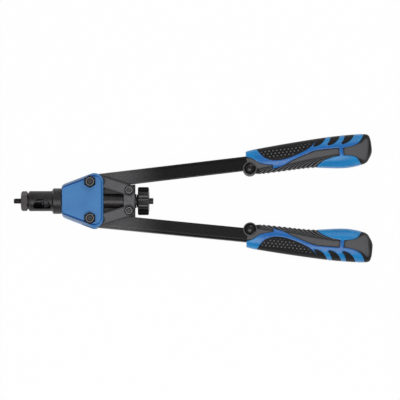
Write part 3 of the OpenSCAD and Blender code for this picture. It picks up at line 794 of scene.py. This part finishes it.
# %% [markdown]
# ## Where the blue shows
# The blue band starts at the outer front corner, sweeps to the inner side, runs back along the
# middle and breaks into blades towards the outer edge. A neck joins it to a second pad on the
# inner side. The distance to these outlines tells each point which colour it has.

# %% Two-colour pattern
BAND_OUTER = [(0.075, 1.2), (0.13, 0.3), (0.2, -0.12), (0.28, -0.2), (0.37, -0.07), (0.47, 0.22),
              (0.54, 0.58), (0.6, 1.2)]
BAND_TAIL = [(0.95, 1.2), (0.935, 0.75), (0.9, 0.42), (0.85, 0.26), (0.78, 0.2)]
BAND_INNER = [(0.73, 0.22), (0.56, 0.16), (0.47, -0.05), (0.36, -0.35), (0.28, -0.65), (0.2, -0.78)]
BAND_STEP = [(0.205, -0.5), (0.11, -0.22), (0.035, 0.3), (-0.05, 0.5)]
BAND_CORNER = [(-0.05, 1.2)]
LENS = [(0.53, -1.2), (0.57, -0.78), (0.64, -0.46), (0.73, -0.28), (0.8, -0.3), (0.87, -0.52), (0.91, -1.2)]
NECK = [(0.74, -0.4), (0.77, -0.4), (0.77, 0.3), (0.74, 0.3)]
FINGER_LEFT = [(0.537, 0.5), (0.562, 0.75), (0.583, 1.2)]
FINGER_RIGHT = [(0.665, 1.2), (0.63, 0.75), (0.59, 0.5), (0.545, 0.4)]
FINGER_PITCH = 0.113
FINGERS = 3
END_PAD = [(0.785, 0.16), (0.86, 0.24), (0.92, 0.34), (0.966, 0.55), (0.972, 0.1), (0.945, -0.75),
           (0.9, -0.62), (0.86, -0.4), (0.785, -0.2)]
CURVE_STEPS = 6


def swept(points):
    """A smooth path through points: each stretch is a cubic of its four nearest points."""
    p = np.array(points, float)
    i = np.arange(len(p) - 1)
    a, b, c, d = p[np.maximum(i - 1, 0)], p[i], p[i + 1], p[np.minimum(i + 2, len(p) - 1)]
    t = (np.arange(CURVE_STEPS) / CURVE_STEPS)[None, :, None]
    a, b, c, d = (q[:, None, :] for q in (a, b, c, d))
    path = 0.5 * (2 * b + (c - a) * t + (2 * a - 5 * b + 4 * c - d) * t**2 + (3 * b - a - 3 * c + d) * t**3)
    return np.concatenate([path.reshape(-1, 2), p[-1:]])


def inside_distance(outline, u, v):
    """Distance from each point to a closed outline, in millimetres, positive inside.

    The nearest point of every edge gives the distance, and the count of edges crossed by a
    ray gives the sign.
    """
    a = outline
    b = np.roll(outline, -1, axis=0)
    edge = b - a
    p = np.stack([u, v], axis=-1)[:, None, :]
    along = np.clip(((p - a) * edge).sum(-1) / np.maximum((edge**2).sum(-1), 1e-9), 0, 1)
    nearest = np.sqrt((((p - a) - along[..., None] * edge) ** 2).sum(-1)).min(axis=1)
    above = (a[:, 1] > v[:, None]) != (b[:, 1] > v[:, None])
    rise = np.where(edge[:, 1] == 0, 1e-9, edge[:, 1])
    cross = a[:, 0] + (v[:, None] - a[:, 1]) / rise * edge[:, 0]
    odd = (above & (u[:, None] < cross)).sum(axis=1) % 2 == 1
    return np.where(odd, nearest, -nearest)


def blue_distance(u, v):
    """How far a point lies inside the blue: the band less its fingers, with the pad and neck."""
    runs = [swept(run) for run in (BAND_OUTER, BAND_TAIL, BAND_INNER, BAND_STEP)]
    band = np.concatenate(runs + [BAND_CORNER])
    blue = inside_distance(on_grip(band), u, v)
    finger = np.concatenate([swept(FINGER_LEFT), swept(FINGER_RIGHT)])
    for i in range(FINGERS):
        blue = np.minimum(blue, -inside_distance(on_grip(finger + (i * FINGER_PITCH, 0)), u, v))
    blue = np.maximum(blue, inside_distance(on_grip(swept(LENS)), u, v))
    return np.maximum(blue, inside_distance(on_grip(NECK), u, v))


INNER_LINE = BAND_STEP[-2::-1] + BAND_INNER[::-1]
print("blue outlines drawn, the inner line through", len(INNER_LINE), "points")

# %% [markdown]
# ## Ribs, studs and grooves
# The overmould has ribs at a slant for the fingers, a panel of small studs for the palm and a
# plain pad at the end. They are real relief, so each is a height added along the surface's own
# outward direction. The dents go into an attribute that darkens them with painted shade, and the
# tops of studs and ribs are lightened with painted highlights.

# %% Studs and ribs
STUD_PITCH = (3.6, 2.5)
STUD_SIZE = 0.95
STUD_HEIGHT = 0.5
RIB_PITCH = 5.2
RIB_TOP = [(0.09, -0.63), (0.15, -0.58), (0.2, -0.6), (0.35, -0.6), (0.5, -0.45), (0.7, -0.2)]
RIB_FAN = [(0.1, 2.1), (0.4, 2.3), (0.7, 2.2)]
RIB_FAN_FROM = 1.5
RIB_HEIGHT = 0.6


def soft(value, low, high):
    """0 below low, 1 above high, a smooth rise between."""
    t = np.clip((value - low) / (high - low), 0.0, 1.0)
    return t * t * (3 - 2 * t)


def between(value, rise, fall):
    """1 between two borders and 0 outside them, with a smooth rise and fall."""
    return soft(value, *rise) * (1 - soft(value, *fall))


def straight(points, s):
    """Straight lines through the points, read at s."""
    return np.interp(s, *np.array(points).T)


def studs(u, v):
    """Round studs on a staggered grid: 1 at a stud's middle, 0 between them."""
    row = np.floor(v / STUD_PITCH[1])
    x = (u + 0.5 * STUD_PITCH[0] * (row % 2)) / STUD_PITCH[0]
    du = (x - np.floor(x) - 0.5) * STUD_PITCH[0]
    dv = v - (row + 0.5) * STUD_PITCH[1]
    return 1 - soft(np.hypot(du, dv), 0.4 * STUD_SIZE, STUD_SIZE)


def ribs(u, below, s):
    """Ribs that leave the edge at a slant and close up under the line they run towards.

    A raised cosine of place along the grip plus a share of the log of the depth below that
    line, so the ribs keep their pitch along the edge and crowd together near the line.
    """
    turns = u / RIB_PITCH + straight(RIB_FAN, s) * np.log(np.maximum(below, 0.0) + RIB_FAN_FROM)
    return soft(0.5 + 0.5 * np.cos(2 * math.pi * turns), 0.4, 0.9)


print("studs", STUD_PITCH[0], "mm apart and ribs", RIB_PITCH, "mm apart")

# %% [markdown]
# ## Where each texture lies
# On the real grip each texture fills its own panel. The panels could be separate pieces, but
# they are moulded in one, so masks with soft borders keep each texture to its panel. A zone's
# span is where it rises and where it falls, in shares of the grip's length.

# %% Grip relief
STUD_SPAN = ((0.11, 0.14), (0.53, 0.56))
STUD_TOP = (0.62, 0.72)
RIB_SPAN = ((0.085, 0.1), (0.71, 0.73))
PLAIN_END = (0.72, 0.75)
PAD_FADE = (-2.0, 1.2)
LENS_FROM = (0.5, 0.55)
FRONT_UNTIL = (0.04, 0.14)
RIB_SINK = 0.3
RIB_DARK = 1.6
SEAM_DEPTH = 0.2
SEAM_WIDTH = 0.35
BLUE_RAISE = 0.18
PAD_RAISE = 0.35
PLAIN_TONE = 0.55


def grip_relief(u, v, s):
    """Height in millimetres over the plain grip, with the masks that colour it."""
    blue = blue_distance(u, v)
    mid, half, _ = grip_edges(s)
    t = (v - mid) / half
    black = soft(-blue, 0.15, 0.5)
    rib_top = straight(RIB_TOP, s)
    stud_zone = black * between(s, *STUD_SPAN) * soft(t - straight(BAND_OUTER, s), 0.1, 0.2)
    stud_zone *= 1 - soft(t, *STUD_TOP)
    rib_zone = black * between(s, *RIB_SPAN) * soft(rib_top - t, 0.0, 0.08)
    plain = black * soft(straight(INNER_LINE, s) - t, 0.0, 0.12) * (1 - soft(s, *PLAIN_END))
    plain *= 1 - soft(rib_top - t, -0.1, 0.05)
    pad_depth = inside_distance(on_grip(swept(END_PAD + END_PAD[:1])), u, v)
    stud_wave = studs(u, v)
    rib_wave = ribs(u, (rib_top - t) * half, s)
    stud = stud_wave * stud_zone
    rib = rib_wave * rib_zone
    height = STUD_HEIGHT * stud + RIB_HEIGHT * (rib - RIB_SINK * rib_zone)
    height += PAD_RAISE * soft(pad_depth, -0.2, 0.6) * black + BLUE_RAISE * soft(blue, 0.0, 0.6)
    height -= SEAM_DEPTH * (1 - soft(np.abs(blue), 0.0, SEAM_WIDTH))
    # Painted light on the grip: painted sheen on the plain band and end pad, painted highlights on stud and
    # rib tops, painted shade in the dents and in the thin dark border left at the seam, and a brighter blue
    # on the sides.
    smooth = PLAIN_TONE * np.clip(plain + soft(pad_depth, *PAD_FADE) * black, 0.0, 1.0) + stud + rib
    dark = stud_zone * (1 - stud_wave) + RIB_DARK * rib_zone * (1 - rib_wave)
    painted_flank_light = np.maximum(soft(t, 0.25, 0.7), soft(-t, 0.15, 0.35) * soft(s, *LENS_FROM))
    painted_flank_light = np.maximum(painted_flank_light, 1 - soft(s, *FRONT_UNTIL))
    return height, {"blue": blue, "smooth": np.clip(smooth, 0.0, 1.0), "dark": dark, "painted_flank_light": painted_flank_light}


print("relief up to", STUD_HEIGHT, "mm on studs and", RIB_HEIGHT, "mm on ribs")

# %% [markdown]
# ## The skin of the grip
# The grip is one closed skin of rings. A box smoothed by subdivision would blur the studs, so
# the rings are dense enough to carry the relief, and rows crowd where the ends round over.

# %% Grip surface
GRIP_ROWS = 300
GRIP_COLUMNS = 320
FRONT_LIP = 0.7
END_LIP = 2.0
ROWS_TO_FRONT = 0.02
ROWS_TO_END = 0.1
RELIEF_SPAN = ((0.0, 0.02), (0.985, 1.0))


def grip_surface():
    """The grip in its own frame: along the arm, out across it, and up.

    A ring is a rounded box: half width times cos a and half thickness times sin a, each to
    the power 2 / GRIP_POWER. Rows crowd towards both ends, where a lip rounds the grip over.
    The relief is added along the ring's outward direction and fades at the ends.
    """
    s = np.linspace(0.0, 1.0, GRIP_ROWS)
    s = s - np.where(s < 0.5, ROWS_TO_FRONT, ROWS_TO_END) * np.sin(2 * math.pi * s)
    a = np.linspace(0.0, 2 * math.pi, GRIP_COLUMNS, endpoint=False)
    S, A = np.meshgrid(s, a, indexing="ij")
    mid, half, high = grip_edges(S)
    near_front = np.clip(1 - S * GRIP_LENGTH / FRONT_LIP, 0.0, 1.0)
    near_end = np.clip(1 - (1 - S) * GRIP_LENGTH / END_LIP, 0.0, 1.0)
    lip = FRONT_LIP * (1 - np.sqrt(1 - near_front**2)) + END_LIP * (1 - np.sqrt(1 - near_end**2))
    half = half - lip
    high = high - lip
    c, n = np.cos(A), np.sin(A)
    power = 2 / GRIP_POWER
    y = half * np.sign(c) * np.abs(c) ** power
    z = high * np.sign(n) * np.abs(n) ** power
    out_y = np.sign(y) * np.abs(y / half) ** (GRIP_POWER - 1) / half
    out_z = np.sign(z) * np.abs(z / high) ** (GRIP_POWER - 1) / high
    length = np.hypot(out_y, out_z)
    u = GRIP_START + S * GRIP_LENGTH
    height, masks = grip_relief(u.ravel(), (mid + y).ravel(), S.ravel())
    height = height.reshape(S.shape) * between(S, *RELIEF_SPAN)
    points = np.stack([u, mid + y + height * out_y / length, z + height * out_z / length], axis=-1)
    return points, {name: mask.reshape(S.shape) for name, mask in masks.items()}


grip_points, grip_masks = grip_surface()
print("grip of", GRIP_ROWS, "rings with masks", ", ".join(grip_masks))

# %% [markdown]
# ## Two arms, one grip
# Both arms carry the same moulding, one of them turned over. A mirrored object would need a
# scale of -1, which upsets normals, so the points are placed for each arm from its own pivot.


# %% Both grips
def arm_place(arm, side):
    """Pivot and angle of an arm, read from its pivot bush and link pin."""
    pivot = middle(arm + "_pivot_bush")
    pin = middle(arm + "_link_pin")
    return pivot, math.atan2(side * (pin[1] - pivot[1]), pin[0] - pivot[0])


def to_arm(points, arm, side):
    """Points in an arm's own millimetres put in the frame; side is -1 for the mirrored arm."""
    pivot, angle = arm_place(arm, side)
    u, v, z = np.moveaxis(points * MM, -1, 0)
    x = pivot[0] + u * math.cos(angle) - v * math.sin(angle)
    y = pivot[1] + side * (u * math.sin(angle) + v * math.cos(angle))
    return np.stack([x, y, pivot[2] + z], axis=-1)


ARMS = {"upper": 1, "lower": -1}
for arm, side in ARMS.items():
    nodes = [arm + "_grip_core", arm + "_grip_cover"]
    placed = to_arm(grip_points, arm, side)
    grip = grid_piece(arm + "_grip", placed, arm + "_arm", "grip", nodes, grip_masks)
    print(grip.name, len(grip.data.polygons), "faces")

# %% [markdown]
# ## The grip's boss and button
# A pin through a round boss keeps each grip on its arm. Both are turned shapes: a profile of
# radius and height, spun round the pin's own axis. A ring-shaped groove parts the two.

# %% Turned outlines
BOSS_R = 6.5
BOSS_TOP = 9.9
BOSS_ROUND = 1.2
BOSS_FOOT = 2.0
CENTRE_R = 2.0
CENTRE_SINK = 0.3
GROOVE = (4.2, 5.5)
GROOVE_DEPTH = 1.1
BUTTON_R = 4.1
BUTTON_RISE = 1.3
BUTTON_SEAT = 0.4
BUTTON_POWER = 2.4


def both_ways(upper_half):
    """A profile that runs from the foot to the top of a shape that is the same both ways up."""
    r, z = np.array(upper_half, float).T
    return list(zip(np.concatenate([r[::-1], r]), np.concatenate([-z[::-1], z])))


def boss_outline():
    """Half the boss: a rounded rim, then half an ellipse for the groove, then a sunk centre."""
    bend = np.linspace(0.0, math.pi / 2, 7)
    rim_r = BOSS_R - BOSS_ROUND + BOSS_ROUND * np.cos(bend)
    rim_z = BOSS_TOP - BOSS_ROUND + BOSS_ROUND * np.sin(bend)
    hollow = np.linspace(0.0, math.pi, 9)
    dip_r = (GROOVE[0] + GROOVE[1]) / 2 + (GROOVE[1] - GROOVE[0]) / 2 * np.cos(hollow)
    dip_z = BOSS_TOP - GROOVE_DEPTH * np.sin(hollow)
    radius = np.concatenate([[BOSS_R], rim_r, dip_r, [CENTRE_R]])
    height = np.concatenate([[BOSS_FOOT], rim_z, dip_z, [BOSS_TOP - CENTRE_SINK]])
    return np.stack([radius, height], axis=-1)


def button_outline():
    """Half the button: a straight wall, then a dome that rises by 1 - q ** BUTTON_POWER."""
    q = np.linspace(1.0, 0.05, 12)
    radius = np.concatenate([[BUTTON_R, BUTTON_R], BUTTON_R * q])
    dome = BOSS_TOP + BUTTON_RISE * (1 - q**BUTTON_POWER)
    return np.stack([radius, np.concatenate([[BOSS_FOOT, BOSS_TOP - BUTTON_SEAT], dome])], axis=-1)


boss_profile = both_ways(boss_outline())
button_profile = both_ways(button_outline())
print("outlines of", len(boss_profile), "and", len(button_profile), "points")

# %% [markdown]
# ## Boss and button in place
# Boss and button share the axis of the pin. Its place is read from the frame and turned into
# the arm's own directions, so both follow when the construction changes.

# %% Boss and button
GROOVE_DARK = 1.7
FAR_FROM_BLUE = -5.0
SPUN_STEPS = 72


def spun(profile, at):
    """A profile of (radius, height) pairs spun round an upright axis, in millimetres."""
    radius, height = np.array(profile, float).T
    turn = np.linspace(0.0, 2 * math.pi, SPUN_STEPS, endpoint=False)
    x = at[0] + radius[:, None] * np.cos(turn)
    y = at[1] + radius[:, None] * np.sin(turn)
    return np.stack([x, y, np.broadcast_to(height[:, None], x.shape)], axis=-1)


boss_r = np.array(boss_profile)[:, 0]
# On the boss, painted shade darkens the groove, and the rim takes the plain rubber's grey.
boss_masks = {
    "blue": np.full_like(boss_r, FAR_FROM_BLUE),
    "smooth": np.full_like(boss_r, PLAIN_TONE),
    "dark": np.where(boss_r < GROOVE[1], GROOVE_DARK, 0.0),
    "painted_flank_light": np.zeros_like(boss_r),
}
boss_masks = {name: np.repeat(mask[:, None], SPUN_STEPS, axis=1) for name, mask in boss_masks.items()}
for arm, side in ARMS.items():
    pivot, angle = arm_place(arm, side)
    offset = (middle(arm + "_grip_pin") - pivot) / MM
    along = offset[0] * math.cos(angle) + side * offset[1] * math.sin(angle)
    across = side * offset[1] * math.cos(angle) - offset[0] * math.sin(angle)
    boss = to_arm(spun(boss_profile, (along, across)), arm, side)
    grid_piece(arm + "_grip_boss", boss, arm + "_arm", "grip", [], boss_masks)
    button = to_arm(spun(button_profile, (along, across)), arm, side)
    grid_piece(arm + "_grip_button", button, arm + "_arm", "knob", [arm + "_grip_pin"])
    print(arm, "boss", round(along, 2), "mm along and", round(across, 2), "mm across the arm")

# %% [markdown]
# ## The floor
# The tool lies on a white table. White paper behind it would do for one view, but a floor takes
# the shadow from every side. It glows white to the camera, and to mirrors, and keeps a little of
# its shaded side so that a faint shadow stays.

# %% Floor
TOOL_MIDDLE = (0.16, 0.0, 0.0)
FLOOR_SIZE = 12.0
FLOOR_GAP = 0.2 * MM
FLOOR_GLOW = 0.98


def white_floor():
    """A pale floor that is mostly white to the camera but still takes a shadow."""
    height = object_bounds()[0][2] - FLOOR_GAP
    bpy.ops.mesh.primitive_plane_add(size=FLOOR_SIZE, location=(*TOOL_MIDDLE[:2], height))
    floor = bpy.context.object
    floor.name = "floor"
    material = bpy.data.materials.new("floor_white")
    material.use_nodes = True
    tree = material.node_tree
    shader = tree.nodes["Principled BSDF"]
    shader.inputs["Base Color"].default_value = (0.86, 0.86, 0.86, 1.0)
    shader.inputs["Roughness"].default_value = 0.9
    rays = tree.nodes.new("ShaderNodeLightPath").outputs
    names = ("Is Camera Ray", "Is Glossy Ray", "Is Transmission Ray")
    camera, glossy, through = (Socket(tree, rays[name]) for name in names)
    seen = camera.larger(glossy.larger(through))
    glow = tree.nodes.new("ShaderNodeEmission")
    glow.inputs["Strength"].default_value = 1.0
    blend = tree.nodes.new("ShaderNodeMixShader")
    tree.links.new((seen * FLOOR_GLOW).socket, blend.inputs[0])
    tree.links.new(shader.outputs[0], blend.inputs[1])
    tree.links.new(glow.outputs[0], blend.inputs[2])
    tree.links.new(blend.outputs[0], tree.nodes["Material Output"].inputs["Surface"])
    floor.data.materials.append(material)


white_floor()
print("floor laid", FLOOR_GAP / MM, "mm under the tool")

# %% [markdown]
# ## Lamps and sky
# A strong soft lamp overhead and a weaker one beside it draw the bevels. A picture of a studio
# could light the tool as well, but a plain sky of two tones needs no file. It is bright near the
# horizon, where bevels look, and dim overhead, where flat tops look.

# %% Lamps and sky
LAMP_SIZE = 0.6
LAMPS = {"overhead": ((0.1, -0.3, 0.9), 4.6), "side_fill": ((0.4, 0.75, 0.6), 1.8)}
SKY_LOW = 1.2
SKY_HIGH = 0.25
SKY_RISE = (0.0, 0.35)


def soft_light(name, place, power):
    """A square lamp at a place, turned to the middle of the tool."""
    lamp = bpy.data.lights.new(name, "AREA")
    lamp.size = LAMP_SIZE
    lamp.energy = power
    thing = bpy.data.objects.new(name, lamp)
    scene.collection.objects.link(thing)
    thing.location = place
    thing.rotation_mode = "QUATERNION"
    thing.rotation_quaternion = (Vector(TOOL_MIDDLE) - Vector(place)).to_track_quat("-Z", "Y")


def studio_sky():
    """A white sky, bright near the horizon and dim overhead, and plain white to the camera."""
    world = bpy.data.worlds.new("studio")
    world.use_nodes = True
    tree = world.node_tree
    background = tree.nodes["Background"]
    background.inputs["Color"].default_value = (1.0, 1.0, 1.0, 1.0)
    direction = Socket(tree, tree.nodes.new("ShaderNodeTexCoord").outputs["Generated"])
    sky = direction.part("Z").step(*SKY_RISE) * (SKY_HIGH - SKY_LOW) + SKY_LOW
    camera = Socket(tree, tree.nodes.new("ShaderNodeLightPath").outputs["Is Camera Ray"])
    tree.links.new((sky + camera * (1.0 - sky)).socket, background.inputs["Strength"])
    scene.world = world


for name, (place, power) in LAMPS.items():
    soft_light(name, place, power)
studio_sky()
scene.view_settings.view_transform = "Standard"
print("stage set with", len(LAMPS), "lamps")
